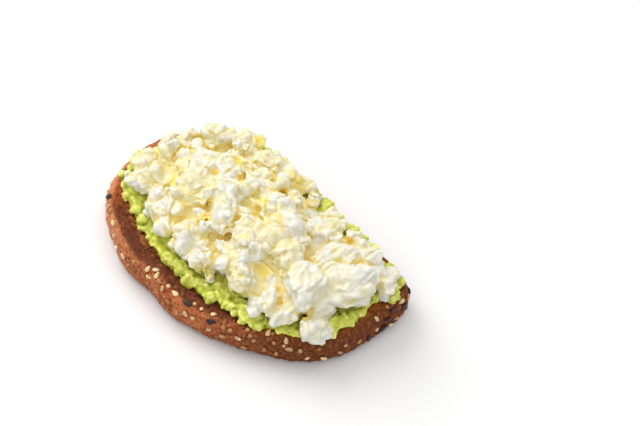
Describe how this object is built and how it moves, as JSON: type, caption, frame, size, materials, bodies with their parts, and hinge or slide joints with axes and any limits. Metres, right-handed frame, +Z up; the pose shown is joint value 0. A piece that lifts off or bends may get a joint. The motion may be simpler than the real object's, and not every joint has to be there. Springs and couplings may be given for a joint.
{
  "type": "avocado toast",
  "caption": "Toasted seeded bread slice with a mashed avocado spread and a heap of scrambled egg on top.",
  "frame": {"origin": "bottom centre of the toast's bounding box, on the surface that the slice lies on", "axes": "+X along the slice's length, +Y towards the flat base of the loaf, +Z up"},
  "size_m": [0.1428, 0.0925, 0.0388],
  "materials": {
    "baked_crust": "matte",
    "avocado_flesh": "satin",
    "egg_curd": "satin"
  },
  "bodies": {
    "root": {"bread_slice": "baked_crust", "mashed_avocado": "avocado_flesh", "scrambled_egg": "egg_curd"}
  },
  "joints": []
}
